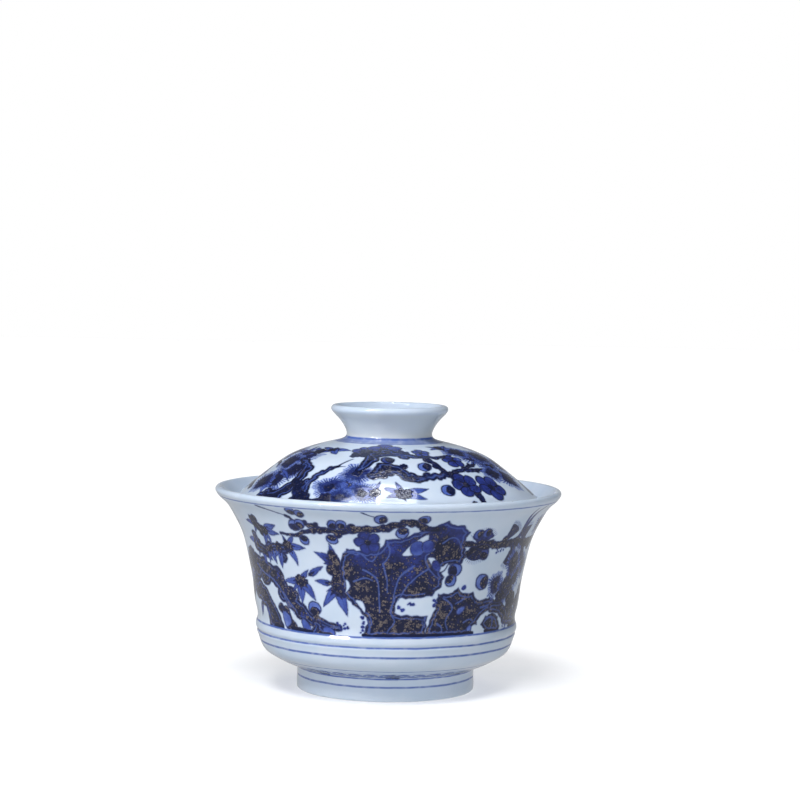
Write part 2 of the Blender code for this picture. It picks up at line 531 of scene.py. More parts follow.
def hole(canvas, places, ink=None):
    """A window of bare porcelain in a mass, or of pale wash."""
    patch, corners = canvas.over(places)
    shape = patch.outline(rounded(corners, 4, closed=True))
    patch.reserve(shape)
    if ink is not None:
        patch.fill(shape, ink)
    patch.edge(shape, 0.3)


def vein(canvas, places):
    """A pale line through a dark mass."""
    patch, points = canvas.over(places)
    points = rounded(points)
    patch.lift(patch.path(points, np.linspace(0.62, 0.341, len(points))))


def comb(bearing, needles, distance, width):
    """Signed distance to thin spokes that radiate from the centre."""
    phase = np.abs((bearing / (2 * math.pi) * needles) % 1 - 0.5)
    return phase * 2 * math.pi / needles * distance - width / 2


def pine(canvas, place, broad, tall, tilt=0, ink=0.55, needles=30):
    """A round cloud of needles about a dark heart."""
    patch = canvas.near(place, max(broad, tall) * 1.3 + 1)
    u, v = turn(patch.u, patch.v, -tilt)
    bearing = np.arctan2(v / tall, u / broad)
    size = (broad + tall) / 2
    uneven = 1 + 0.10 * np.sin(bearing * 4 + place[0]) + 0.06 * np.sin(bearing * 11)
    reach = np.hypot(u / broad, v / tall) * uneven
    patch.fill(np.maximum(comb(bearing, needles, reach * size, 0.38), (reach - 1.15) * size), 0.3)
    patch.fill((reach - 0.72) * size, ink)
    patch.draw(np.maximum(comb(bearing, needles, reach * size, 0.24), (reach - 0.92) * size))
    patch.fill((reach - 0.34) * size, 1.0)


def fan(canvas, place, size, tilt, spread, ink=0.72):
    """Needles that open from a stalk like a hand fan. A tilt of 0 opens it upward."""
    patch = canvas.near(place, size * 1.2 + 1)
    u, v = turn(patch.u, patch.v, -tilt)
    reach = np.hypot(u, v)
    bearing = np.arctan2(u, v)
    side = (np.abs(bearing) - math.radians(spread)) * np.maximum(reach, 0.3)
    patch.fill(np.maximum(side, reach - size * 0.9), ink)
    patch.edge(np.maximum(side, reach - size * 0.84), 0.3)
    needles = FAN_NEEDLES * 180 / spread  # as many as would go all the way round
    spoke = 2 * comb(bearing, needles, reach, 0.14)
    patch.fill(np.maximum(np.maximum(spoke, side), np.abs(reach - size) - size * 0.06), 0.9)
    patch.draw(np.maximum(np.maximum(spoke + 0.05, side), reach - size * 0.85))


def stain(canvas, place, reach, amount):
    """Heaps up the ink, or thins it, round a place that is painted already."""
    patch = canvas.near(place, reach * 2)
    more = amount * np.exp(-(patch.disc(0, 0, 0) / reach) ** 2)
    patch.change("ink", lambda old, added: np.where(old > 0, old + added, 0), more)


def moss(canvas, place, reach, count, seed, size=0.42):
    """Small dots scattered round a place."""
    dice = np.random.default_rng(seed)
    patch = canvas.near(place, reach + 1)
    for _ in range(count):
        u, v = dice.uniform(-reach, reach, 2) * 0.8
        patch.fill(patch.disc(u, v, size * dice.uniform(0.6, 1.1)), 0.6)


def blade(canvas, places, width, ink=0.42):
    """A long narrow leaf along a curve."""
    patch, points = canvas.over(places, width + 1)
    points = rounded(points)
    share = np.linspace(0, 1, len(points))
    shape = patch.path(points, 0.1 + width * np.sin(math.pi * share ** 0.8))
    patch.fill(shape, ink)
    patch.edge(shape, 0.24)


# ---------------------------------------------------------------------------------------------
# What is painted on the bowl's wall. The level of a place there is its height.

GROUND_LEVEL = 20.5


def wall_front_left(wall):
    """Bamboo sprays above a leaning trunk."""
    limb(wall, [(-74, 39), (-66, 38), (-56, 36.5), (-50, 34.5), (-45, 30), (-39, 26.5), (-31, 23.5),
        (-20, 22.6)], [5.5, 5.2, 4.6, 4.4, 4, 3.6, 2.8, 2], 3)
    limb(wall, [(-72, 30), (-63, 28.5), (-56, 24), (-52, 20.5)], [4.5, 5, 4.6, 3.6], 4)
    limb(wall, [(-50, 26.5), (-45, 23), (-43, 20.6)], [2.6, 2.4, 2.6], 5)
    limb(wall, [(-31, 23), (-29, 20.5)], [2.4, 3.6], 6)
    hole(wall, [(-48.5, 25.5), (-45.5, 24.5), (-45, 22), (-47, 21), (-49, 22.5)], 0.3)
    hole(wall, [(-37.5, 23.8), (-34.5, 22.6), (-33.5, 20.8), (-37.2, 20.8)], 0.32)
    hole(wall, [(-27, 22.2), (-23, 22), (-22, 20.8), (-27.5, 20.7)], 0.32)
    vein(wall, [(-66, 37.5), (-58, 35), (-52, 33.5), (-46, 28.5), (-41, 24.5)])
    vein(wall, [(-48, 31), (-44, 28.5), (-40, 25.5)])
    leaf(wall, (-66, 27), 5.5, 150, ink=0.5)
    leaf(wall, (-62, 26), 4.5, 200, ink=0.5)
    moss(wall, (-18.5, 23.5), 2.2, 11, 21)
    moss(wall, (-50, 35.6), 1.6, 6, 22, 0.35)
    moss(wall, (-36, 24.8), 1.8, 6, 23, 0.35)
    bud(wall, (-30.8, 27.4), 2, 5)
    heap(wall, (-30.4, 25.4), 1.1, 31)
    limb(wall, [(-71, 42), (-66, 40), (-64.5, 38.5)], [0.8, 0.8, 1.6], 8)
    spray(wall, (-60.5, 44.5), 1.7, [(86, 5.6), (170, 4.5), (205, 5.2)])
    spray(wall, (-57.5, 42.8), 1.5, [(188, 5), (232, 5.4)])
    limb(wall, [(-61.5, 46.5), (-60, 43), (-53, 43), (-47, 43.6), (-42, 44)], [2.6, 3.2, 2.6, 2.6, 2.8],
        9)
    spray(wall, (-52, 43.2), 1.3, [(205, 5.2), (165, 4.6)])
    spray(wall, (-46.5, 44), 1.6, [(184, 6.2), (150, 4.2)])
    spray(wall, (-41, 44.6), 1.8, [(206, 6), (268, 6), (318, 4.6), (20, 3.5)])
    spray(wall, (-57, 50), 1.7, [(82, 4.8), (150, 3.6)])
    limb(wall, [(-58, 51.5), (-56, 50), (-53, 47.5)], [2.2, 3, 2.6], 10)
    spray(wall, (-52, 48.4), 1.6, [(290, 6.4), (262, 6), (196, 4.2), (160, 5)])
    spray(wall, (-37, 35), 1.9, [(98, 6.2), (180, 7), (222, 7), (140, 4.2), (318, 4.4)])
    heap(wall, (-35.2, 34.8), 1.3, 33)
    leaf(wall, (-33, 36.5), 5.8, 300)
    leaf(wall, (-22, 35), 5.5, 88)
    spray(wall, (-20.5, 41), 2, [(66, 6.8), (14, 5.6), (100, 3.5)])
    spray(wall, (-20, 34), 1.9, [(112, 3.5), (142, 7.2), (200, 8.6)])
    limb(wall, [(-22, 43.4), (-19.6, 40), (-20.2, 36), (-19, 32.6)], [2, 3, 3, 2.4], 41, ink=1.1)
    limb(wall, [(-20, 34), (-14, 31.6), (-9, 28.6)], [2.4, 1.7, 1.2], 42, ink=0.9)


def wall_plum_branch(wall):
    """A plum branch along the top of the scene."""
    twig(wall, [(-48, 56), (-42, 54.7), (-36, 53.6)], 0.7)
    twig(wall, [(-8, 56.2), (-4, 54.6), (-1.5, 53)], 0.6)
    limb(wall, [(-37, 53.8), (-31, 51.8), (-24, 50.6), (-19, 50.1)], [0.7, 1, 1.2, 1.4], 12)
    limb(wall, [(-43, 48.2), (-36, 48.3), (-28, 49.9), (-19, 50), (-12, 50.8), (-2, 51.2), (5, 53),
        (8.5, 53.6), (13, 51.8), (20, 51.5)], [0.5, 1, 1.3, 1.6, 2.2, 1.8, 1.9, 2, 1.8, 2], 13)
    for place, size, tilt in (
        ((-33.5, 55.2), 1.45, 0), ((-30.6, 54.6), 1.4, 30), ((-34.6, 51.1), 1.85, -20),
        ((-32.2, 51.6), 1.6, -20), ((-32.2, 46.9), 1.5, 180), ((-19.4, 51.9), 1.45, 10),
        ((-16.2, 52), 1.45, -10), ((-20.5, 47.6), 1.6, 180), ((-2.2, 54), 1.75, 60),
        ((12.6, 54.1), 1.7, -30), ((5.4, 50.2), 1.8, 170),
    ):
        bud(wall, place, size, tilt)
    blossom(wall, (-7.2, 47.2), 3.4, 20, ink=0.62)


def great_rock_ink(patch):
    """A wash that is paler toward the top of the rock."""
    rise = patch.v / np.abs(patch.v).max()
    return np.clip(0.84 - 0.18 * rise, 0.6, 1.0)


def wall_great_rock(wall):
    """The tall thorny rock in the middle of the front, with its windows."""
    rock(wall, [(-16.8, 43.5), (-15.5, 44.8), (-10, 44.6), (-3, 45), (-0.5, 48), (6, 48.6), (13, 51),
        (21.5, 53.6), (23, 52.5), (27.5, 52), (31, 50), (30, 47), (31.5, 43), (29.5, 40.6), (25, 41),
        (21.5, 39.5), (23, 37.5), (22.2, 34.4), (19, 31.8), (11, 31.4), (5, 31.6), (3.5, 28),
        (4.5, 26.8), (17, 26.2), (17.5, 20.4), (-9.5, 20.4), (-8, 23), (-7.4, 25.4), (-9.6, 27),
        (-13.4, 29.4), (-17.6, 32), (-18.4, 35), (-18.5, 39.5)], great_rock_ink, 51)
    hole(wall, [(5.8, 43.6), (8.6, 46.4), (12, 48.4), (15.4, 49.4), (15.2, 47.6), (12, 46),
        (10.4, 43.9)])
    hole(wall, [(10, 47.4), (12.4, 47.6), (14, 45.6), (12.8, 43.6), (10.2, 43.6), (8.8, 45.2)], 0.42)
    hole(wall, [(13.6, 47.4), (16.6, 47.6), (17, 45.4), (14.6, 44.2)], 0.45)
    hole(wall, [(15.6, 42.9), (19, 42.4), (22, 40.4), (24.4, 41.4), (22.8, 39.2), (19, 39.6)])
    hole(wall, [(18.2, 42), (21, 41), (20.6, 39), (18.4, 39.4)], 0.42)
    hole(wall, [(-16.2, 36.6), (-14.9, 35.8), (-15.2, 33.6), (-17, 32.6), (-16.4, 34.6)])
    hole(wall, [(-12.4, 30.8), (-10, 30.6), (-8.4, 28.6), (-8.6, 27.4), (-10.8, 28.8)])


def great_rock_veins(wall):
    """The pale veins of the tall rock."""
    for places in (
        [(-16, 44), (-10, 43.7), (-6, 42), (-3, 45)],
        [(-9.5, 39.4), (-5, 37.6), (-3, 33), (-2.6, 27.5)],
        [(-13, 36), (-8, 37), (-5.5, 36.2)],
        [(-1.5, 41.5), (-0.5, 38), (0.4, 33)],
        [(10.5, 40.4), (5.6, 37.5), (3.4, 33), (2.6, 30)],
        [(16, 39.5), (10, 36.5), (6.6, 33), (5.2, 31)],
        [(17.5, 45.5), (14.6, 42.8), (15.5, 40.6), (17.4, 38.6), (20.6, 37)],
        [(3.4, 31), (2.2, 27), (3.8, 24.6), (1.6, 22.4), (1.2, 20.4)],
        [(16.2, 26), (16.6, 23)],
        [(0, 47.5), (1, 44), (-1.6, 41.4)],
        [(10, 50), (15, 50.4), (20, 52)],
        [(21, 47), (25, 48.6), (29, 46)],
        [(-7.5, 25.5), (-6.4, 22.5), (-7, 20.6)],
    ):
        vein(wall, places)


def great_rock_stains(wall):
    """Where the tall rock's ink is heaped or thinned, and the dots beside it."""
    for place, reach, amount in (
        ((-20, 38), 5, 0.25), ((-20.5, 42), 3, 0.2), ((-8, 33.5), 4, 0.25), ((-15, 39), 3, 0.2),
        ((-3, 24), 5, 0.25), ((12, 22), 7, 0.2), ((22, 47), 3, 0.3), ((3, 40), 3.5, 0.2),
        ((13, 33), 4, 0.2), ((19, 42), 3, 0.2), ((27, 44), 3, 0.25), ((9, 39), 4, -0.15),
        ((-12, 41), 3, -0.12), ((26, 48), 2, -0.2), ((2, 46), 3, -0.1),
    ):
        stain(wall, place, reach, amount)
    for place in (
        (5, 28.8), (6.8, 28.2), (9.6, 29.6), (11, 29.8), (19.6, 29.2), (20.3, 30.2), (-9.6, 25.8),
        (-9, 24.2), (-9.2, 22.8), (-10, 21.6),
    ):
        moss(wall, place, 0.5, 3, int(place[0] * 3 + 90), 0.45)


def wall_low_rock(wall):
    """The broad low rock to the right of the front."""
    rock(wall, [(17, 20.4), (18.5, 25), (20.4, 29), (21.5, 32.2), (26.5, 32.4), (30.5, 34), (34, 32.4),
        (38, 32.4), (40.4, 30), (43.5, 29.6), (48, 30.4), (53, 29), (58, 30.5), (60, 27), (52, 27.2),
        (46, 26.2), (42.6, 24.4), (42.4, 22.8), (39.5, 22.4), (40, 20.4)], 0.98, 61, tooth=0.45, step=2)
    hole(wall, [(31, 28), (34.5, 28.4), (33, 27), (31, 26.6)], 0.25)
    hole(wall, [(37.4, 22.4), (39.2, 22.6), (39, 21), (37.2, 21)], 0.3)
    for places in (
        [(43.5, 27.6), (49, 28.6), (51, 30.4)], [(24, 31), (28.6, 28), (25.8, 25), (27.5, 22)],
        [(35, 24), (38, 24.6), (40, 23.6)], [(34, 31), (30, 29.4)], [(22, 24), (24.6, 22), (23, 20.6)],
    ):
        vein(wall, places)
    for place, size, tilt in (
        ((27.6, 39.2), 2, -60), ((26.2, 36.2), 1.7, -130), ((42.2, 35.2), 2.2, 80),
    ):
        bud(wall, place, size, tilt)
    twig(wall, [(23.5, 41), (26.4, 40.4), (27.4, 39.6)], 0.6)
    twig(wall, [(44.2, 35), (46.5, 34.6), (48, 34)], 0.9)
    moss(wall, (33.4, 33.8), 0.6, 3, 62, 0.6)


def wall_pine_bough(wall):
    """A level pine bough on the right, with its fans of needles."""
    blade(wall, [(56, 44.5), (60.5, 49), (64, 53.5), (67, 56)], 1.4, 0.6)
    blade(wall, [(60, 45), (60, 50), (61, 55.5)], 1.2, 0.6)
    fan(wall, (50.5, 46.2), 6.4, -30, 26, ink=0.85)
    fan(wall, (37.6, 45.6), 5.7, -4, 52)
    bud(wall, (35.2, 49.2), 1.6, 90, ink=0.4)
    bud(wall, (39.2, 49.2), 1.5, 90, ink=0.4)
    fan(wall, (36.8, 46.2), 5.6, 184, 50, ink=0.9)
    bud(wall, (40.6, 43.2), 1.7, 0, ink=0.5)
    fan(wall, (58, 45.4), 7.4, 172, 26, ink=0.9)
    fan(wall, (65, 45.4), 6, 20, 34)
    fan(wall, (67, 44.6), 6.2, 190, 34)
    limb(wall, [(30, 46.6), (38, 46.2), (46, 45.6), (58, 45.8), (68, 44.6), (80, 46)],
        [1.6, 1.9, 2.2, 2.4, 2.6, 2.4], 14)
    limb(wall, [(32, 43.9), (36, 44.6), (42, 45)], [1.4, 2.4, 1.2], 15)
    limb(wall, [(57, 45.5), (60, 40), (62, 34), (64, 29)], [2.2, 2.8, 3.4, 3.6], 16)
    moss(wall, (47.5, 43.6), 0.8, 4, 63)
    moss(wall, (50.6, 43.9), 0.8, 4, 64)
    pine(wall, (51, 33.6), 3.2, 3.4, ink=0.8)
    pine(wall, (65.5, 35.4), 4.4, 3.8, ink=0.8)
    pine(wall, (58, 31.6), 3.4, 3.6, ink=0.9)
    heap(wall, (54.5, 29.5), 2.2, 18)
    pine(wall, (62, 39.5), 3.6, 4.4, ink=0.9)
    heap(wall, (61, 33), 3, 68, ink=0.9)
    heap(wall, (66, 28), 3.2, 69, ink=0.95)
    limb(wall, [(50, 27.4), (57, 26.6), (64, 23.5), (74, 22.4)], [2.6, 3.6, 3.2, 2.6], 17)
    rock(wall, [(45, 22.6), (47, 25), (51.5, 25.8), (56, 24), (59, 21.4), (58, 20.4), (49, 20.4)], 1,
        65, tooth=0.3, step=1.6)
    vein(wall, [(47.5, 24.4), (51, 24.6), (52.6, 22), (50.4, 20.8)])
    moss(wall, (64, 21.4), 2, 8, 66)


def wall_right(wall):
    """A pine trunk that climbs from rocks, with clouds of needles."""
    limb(wall, [(74, 22), (78, 29), (86, 34), (88, 41), (82, 47)], [5.2, 4.4, 3.8, 3, 2], 18)
    limb(wall, [(87, 39), (96, 43), (106, 45), (116, 50)], [2.4, 2, 1.6, 1], 19)
    for place, broad, tall in (
        ((76, 50), 4, 3), ((84, 51.5), 4.4, 3.2), ((92, 49), 4, 3), ((73, 38), 3.6, 3.2),
        ((97, 39.4), 4.2, 3.2), ((104, 50.4), 4.2, 3), ((112, 44.4), 3.8, 3),
    ):
        pine(wall, place, broad, tall)
    rock(wall, [(70, 20.4), (73, 25), (79, 27.5), (83, 25), (88, 28), (93, 24.5), (99, 26), (104, 22.5),
        (106, 20.4)], 0.95, 71, tooth=0.45, step=2.2)
    vein(wall, [(76, 25), (80, 22.5), (78, 20.8)])
    vein(wall, [(90, 25.6), (93, 22.5), (90, 20.8)])
    spray(wall, (95, 31.6), 1.7, [(40, 5.6), (350, 5.2), (300, 5.8), (100, 5.4), (160, 4.2)])
    spray(wall, (108, 33), 1.8, [(80, 6), (20, 6.2), (330, 5.2), (250, 6), (180, 6.4)])
    limb(wall, [(109, 21), (108, 27), (108, 33)], [1.2, 0.9, 0.7], 20)
    moss(wall, (103, 25.6), 2.4, 10, 72)


def wall_back(wall):
    """A bamboo grove between two rocks."""
    for foot, lean, top in ((128, 2, 52), (137, -3, 54), (150, 4, 50), (163, -2, 53)):
        for low in np.arange(21, top, 6.5):
            start = (foot + lean * (low - 20) / 30, low)
            end = (foot + lean * (low - 14) / 30, min(low + 6.0, top))
            limb(wall, [start, end], [1.15, 1], int(foot + low), ink=0.55, knots=False)
            heap(wall, end, 0.75, int(foot + low))
    dice = np.random.default_rng(90)
    for angle in range(122, 172, 9):
        for level in (28, 37, 46):
            place = (angle + dice.uniform(-3, 3), level + dice.uniform(-2, 2.5))
            first = dice.uniform(0, 60)
            leaves = [(first + k * dice.uniform(55, 75), dice.uniform(4.4, 7.0)) for k in range(5)]
            spray(wall, place, dice.uniform(1.3, 1.9), leaves)
    rock(wall, [(116, 20.4), (119, 25), (124, 29), (129, 27), (134, 30.5), (139, 26), (146, 27),
        (150, 23), (152, 20.4)], 0.95, 81, tooth=0.5, step=2.2)
    hole(wall, [(124, 25), (127, 25.6), (127.4, 23), (124.4, 22.6)])
    vein(wall, [(120, 25), (124, 27), (131, 25), (134, 28)])
    vein(wall, [(136, 25), (140, 23), (138, 21)])
    rock(wall, [(160, 20.4), (163, 24), (170, 25.6), (176, 30), (182, 29), (188, 33), (194, 28),
        (200, 27), (205, 23), (207, 20.4)], 0.9, 82, tooth=0.5, step=2.4)
    hole(wall, [(185, 27.6), (189, 28.6), (190, 25.4), (186, 24.6)])
    vein(wall, [(172, 26), (178, 24.4), (183, 26), (187, 31)])
    vein(wall, [(192, 27), (196, 24), (193, 21)])
    moss(wall, (157, 22.6), 2.4, 10, 83)
    moss(wall, (210, 22.4), 2.4, 10, 84)


def wall_left(wall):
    """A second plum tree over a rock, and bamboo that reaches round to the front."""
    limb(wall, [(196, 27), (203, 33), (212, 36), (219, 42), (229, 46), (240, 47), (250, 50.5)],
        [5, 4.2, 3.6, 3, 2.4, 1.8, 1], 21)
    limb(wall, [(213, 37), (210, 44), (202, 49), (194, 52)], [2.4, 1.9, 1.4, 0.8], 22)
    limb(wall, [(222, 43), (230, 39), (240, 37.4), (249, 39)], [2, 1.6, 1.3, 0.8], 23)
    limb(wall, [(206, 47), (203, 52), (200, 55)], [1.2, 0.9, 0.5], 24)
    for place, size, tilt in (
        ((205, 43.6), 3, 10), ((222, 49), 3.2, 40), ((238, 42.2), 3, 0), ((196, 46.5), 2.8, 30),
        ((247, 45.2), 2.6, 15),
    ):
        blossom(wall, place, size, tilt)
    for place, size, tilt in (
        ((199, 51.4), 1.5, 160), ((208, 51.6), 1.6, 20), ((215, 47.4), 1.5, 0), ((229, 49.4), 1.6, 10),
        ((234, 44.4), 1.4, 180), ((243, 50.6), 1.5, 10), ((233, 36.8), 1.5, 180),
        ((246, 36.2), 1.6, 180), ((251, 52.4), 1.4, 20), ((226, 36.6), 1.4, 200),
        ((254, 47.6), 1.6, 170),
    ):
        bud(wall, place, size, tilt)
    rock(wall, [(214, 20.4), (217, 25), (223, 28.6), (229, 31.5), (235, 28), (242, 29.5), (248, 25),
        (254, 26.5), (259, 23), (261, 20.4)], 0.95, 91, tooth=0.5, step=2.2)
    hole(wall, [(228, 27), (231, 27.6), (232, 25), (228.6, 24.6)])
    vein(wall, [(219, 25), (224, 26.6), (227, 23.6)])
    vein(wall, [(236, 27), (240, 25), (238, 22)])
    spray(wall, (263, 31), 1.8, [(60, 5.8), (10, 6.4), (320, 5.6), (255, 5.6), (200, 5.4), (120, 5)])
    spray(wall, (256, 33.5), 1.6, [(80, 5.4), (30, 5), (150, 5.2), (210, 5)])
    spray(wall, (270, 42), 1.8, [(70, 5.8), (20, 5.6), (300, 5), (240, 6), (180, 6.2), (130, 5)])
    spray(wall, (277, 49), 1.7, [(80, 5.6), (30, 4.4), (330, 4.4), (270, 5.6), (200, 5)])
    limb(wall, [(264, 22), (265, 30), (269, 40), (276, 49)], [1.3, 1.1, 0.9, 0.7], 25)
    moss(wall, (268, 23), 2.6, 12, 92)
    limb(wall, [(272, 24), (280, 29), (289, 33)], [3, 4.2, 5], 26)
    pine(wall, (281, 36), 3.6, 3.2)


def wall_ground(wall):
    """A broken dark line where the scene meets the bead."""
    for start, end, width in (
        (-56, -50, 1.5), (-44, -38, 1.4), (-37, -33, 1), (-29, -24, 0.9), (-9, 40, 1.1), (48, 55, 1),
        (68, 108, 1), (116, 152, 1), (160, 207, 1), (214, 261, 1),
    ):
        angles = np.linspace(start, end, max(int((end - start) / 3), 2))
        patch, points = wall.over([(angle, GROUND_LEVEL) for angle in angles], 2)
        patch.fill(patch.path(points, width), SOLID)


def paint_wall(wall):
    """Later parts cover earlier ones."""
    for paint in (
        wall_right, wall_back, wall_left, wall_low_rock, wall_pine_bough, wall_front_left,
        wall_great_rock, great_rock_veins, great_rock_stains, wall_plum_branch, wall_ground,
    ):
        paint(wall)


def curl(tilt):
    """A small flat spiral that winds in towards its centre."""
    points = []
    for angle in np.linspace(0, 4.4, 9):
        shrink = 1 - angle / 8
        points.append(turn(2.1 * math.cos(angle) * shrink, 1.5 * math.sin(angle) * shrink, tilt))
    return points


def paint_under(under):
    """A narrow scroll round the foot of the bowl: pairs of curls, and small flowers over them."""
    for angle in np.arange(0, 360, 9):
        patch = under.near((angle, 28.9), 3.6)
        for tilt in (15, 195):
            patch.fill(patch.path(curl(tilt), np.linspace(1.3, 0.6, 9)), 0.36)
        patch.fill(patch.disc(0.3, -0.5, 0.6), 0.4)
    for angle in np.arange(4, 360, 45):
        blossom(under, (angle, 28.4), 2.1, angle)
        heap(under, (angle + 3, 27.2), 1.2, int(angle))


# ---------------------------------------------------------------------------------------------
# What is painted on the lid's dome. The level of a place there is its radius.


def dome_left(dome):
    """Pine clouds on the left of the lid's front, with the trunks that carry them."""
    for place, broad, tall in (
        ((-60, 27.6), 5.8, 4.4), ((-67, 30.6), 5.2, 4), ((-61, 36.6), 5.6, 4.6), ((-70, 38), 5, 4),
        ((-54, 33), 4.2, 3.2), ((-53, 41.6), 4.4, 3),
    ):
        pine(dome, place, broad, tall, ink=0.75, needles=36)
    for place, broad, tall in (
        ((-19, 36.2), 4.2, 3.2), ((-25.5, 37.4), 4.8, 3.8), ((-15.5, 32.6), 4.4, 3.4),
        ((-10.5, 38.6), 4.2, 3.6), ((-20, 40), 4, 3),
    ):
        pine(dome, place, broad, tall, ink=0.45, needles=38)
    limb(dome, [(-60, 43.4), (-51, 41), (-46, 37.6), (-45.4, 33.6), (-50, 30.2), (-57, 29)],
        [3.4, 4.2, 4.4, 3.4, 2.6, 1.6], 31)
    limb(dome, [(-34, 43.4), (-36.6, 40), (-37.4, 36.6), (-35, 33.4), (-31, 31.4), (-27, 30.4)],
        [3.4, 3.2, 2.4, 2, 1.5, 0.8], 32)
    twig(dome, [(-28, 30.4), (-25, 29), (-21.5, 27)], 0.7)
    twig(dome, [(-28, 30.6), (-23, 30.4)], 0.5)
    limb(dome, [(-46, 36.4), (-41, 38.6), (-38, 42)], [2.2, 2.6, 2.6], 33)
    limb(dome, [(-40, 43.2), (-32, 42.4), (-24, 42)], [2.6, 3, 2.8], 30)
    heap(dome, (-25.5, 40.4), 1.9, 29)
    blade(dome, [(-66, 33.4), (-58, 34.4), (-50, 36.6)], 1)
    spray(dome, (-46, 21.8), 1.6, [(268, 6.4), (234, 5.4), (80, 5), (130, 4.6)])
    spray(dome, (-55, 24), 2.2, [(280, 4.4), (60, 4.6), (150, 4)])


def dome_branches(dome):
    """Plum branches that cross the front of the lid, with their buds and first flowers."""
    blossom(dome, (-19.5, 21.8), 3.2, 10)
    blossom(dome, (-4, 20), 4.4, 0)
    heap(dome, (-22.6, 24.6), 1.6, 36, ink=0.9)
    heap(dome, (-13, 23.6), 3, 37, ink=0.9)
    heap(dome, (9, 22.6), 2.2, 35, ink=0.9)
    limb(dome, [(-11, 25), (-12, 28.4), (-15.4, 31.6)], [4, 3.2, 1.8], 38)
    limb(dome, [(-10, 24), (-2, 23), (8, 23.6), (15, 24.6), (24, 25), (35, 25.4), (46, 24), (54, 19.6)],
        [3.4, 3.2, 2.4, 1.7, 1.5, 1.3, 1.2, 1.2], 34)
    limb(dome, [(-8, 33.6), (-4, 31.4), (0, 30), (5, 31), (10.6, 33.4), (20, 33.6), (32, 32.8),
        (42, 31.4), (52, 30), (59, 28.4)], [2, 3.4, 4, 3.4, 2, 1.9, 1.7, 1.4, 1.3, 0.8], 39)
    heap(dome, (8.4, 29.8), 1.2, 27)
    limb(dome, [(44, 32), (56, 32.2), (68, 33)], [1.3, 1.5, 1.2], 41)
    limb(dome, [(23, 24.6), (25.4, 28.4), (30.6, 32.4)], [1.9, 1.8, 1.5], 42)
    bud(dome, (-0.6, 26.8), 1.8, 100, ink=0.6)
    bud(dome, (20, 29.9), 1.8, 90)
    bud(dome, (26.4, 37.6), 2, 90)
    blossom(dome, (23.4, 22.4), 2.4, 0)
    blossom(dome, (41, 27.8), 3.2, 0, ink=0.6)
    limb(dome, [(33, 33), (34.4, 36), (36, 38)], [2.2, 2.6, 1.8], 43)
    limb(dome, [(39, 38), (39.6, 40), (40.4, 43)], [1.6, 1.8, 1.4], 44)


def dome_right(dome):
    """Flowers, bamboo and pine clouds on the right of the lid's front."""
    blossom(dome, (37, 36.2), 4.3, 15, ink=0.62)
    blossom(dome, (50.6, 37.6), 4.6, 30, ink=0.62)
    heap(dome, (36, 41.8), 1, 45)
    spray(dome, (6.5, 38.6), 2.4, [(286, 7.4), (252, 6.8), (70, 6.4), (110, 5.2), (20, 4.8), (190, 3)])
    spray(dome, (-5, 38.4), 1.6, [(60, 5.6), (130, 5), (190, 4.2), (350, 4.4)])
    for place, broad, tall in (
        ((61, 26.6), 5.6, 4.4), ((55, 23), 4.4, 3.4), ((68, 30.6), 5, 3.8), ((73, 35.8), 5.2, 4.2),
        ((72, 27), 5, 4), ((62, 33.6), 3.8, 3),
    ):
        pine(dome, place, broad, tall, ink=0.7, needles=36)
    spray(dome, (46, 19.6), 1.6, [(100, 4), (60, 3.6), (250, 5), (290, 4.6), (200, 3.8)])
    for place, reach, amount in (((-13, 23), 5, 0.2), ((0, 31), 4, 0.15), ((-46, 36), 5, 0.1)):
        stain(dome, place, reach, amount)


def dome_round(dome):
    """The sides and back of the lid: a plum tree, pine clouds and bamboo, in three repeats."""
    for third, start in enumerate((90, 165, 240)):
        dice = np.random.default_rng(200 + third)
        limb(dome, [(start - 6, 43), (start, 38), (start + 8, 33), (start + 10, 27), (start + 22, 23)],
            [3.4, 3, 2.6, 2, 1], 50 + third)
        limb(dome, [(start + 8, 32), (start + 20, 33.4), (start + 32, 31.6), (start + 44, 33)],
            [1.8, 1.6, 1.3, 0.8], 60 + third)
        limb(dome, [(start + 20, 42.6), (start + 30, 39.4), (start + 42, 40.6)], [2.4, 2.6, 1.6],
            70 + third)
        for _ in range(2):
            place = (start + dice.uniform(24, 46), dice.uniform(35.4, 37.6))
            blossom(dome, place, dice.uniform(2.8, 3.6), dice.uniform(0, 72))
        for offset, level in ((14, 37), (34, 26.4), (-6, 31.4), (4, 24)):
            pine(dome, (start + offset, level), 4.2, 3.4, dice.uniform(-20, 20), ink=0.5)
        for offset, level in ((24, 29.6), (38, 29.4), (18, 35), (30, 21.4)):
            bud(dome, (start + offset, level), 1.6, dice.uniform(-60, 60))
        leaves = [(k * 62 + dice.uniform(0, 30), dice.uniform(4.4, 6.2)) for k in range(6)]
        spray(dome, (start + 55, 38), 1.8, leaves)
        leaves = [(k * 75 + dice.uniform(0, 30), dice.uniform(3.6, 5.0)) for k in range(5)]
        spray(dome, (start + 52, 25), 1.5, leaves)
        heap(dome, (start + 16, 20.6), 2, 300 + third)


def paint_dome(dome):
    for paint in (dome_round, dome_left, dome_branches, dome_right):
        paint(dome)


# ---------------------------------------------------------------------------------------------
# Glaze.


def linear(red, green, blue):
    """A colour given in display values from 0 to 255, as the linear values that shaders take."""
    shares = np.array([red, green, blue]) / 255
    curve = np.where(shares <= 0.04045, shares / 12.92, ((shares + 0.055) / 1.055) ** 2.4)
    return (*[float(share) for share in curve], 1.0)


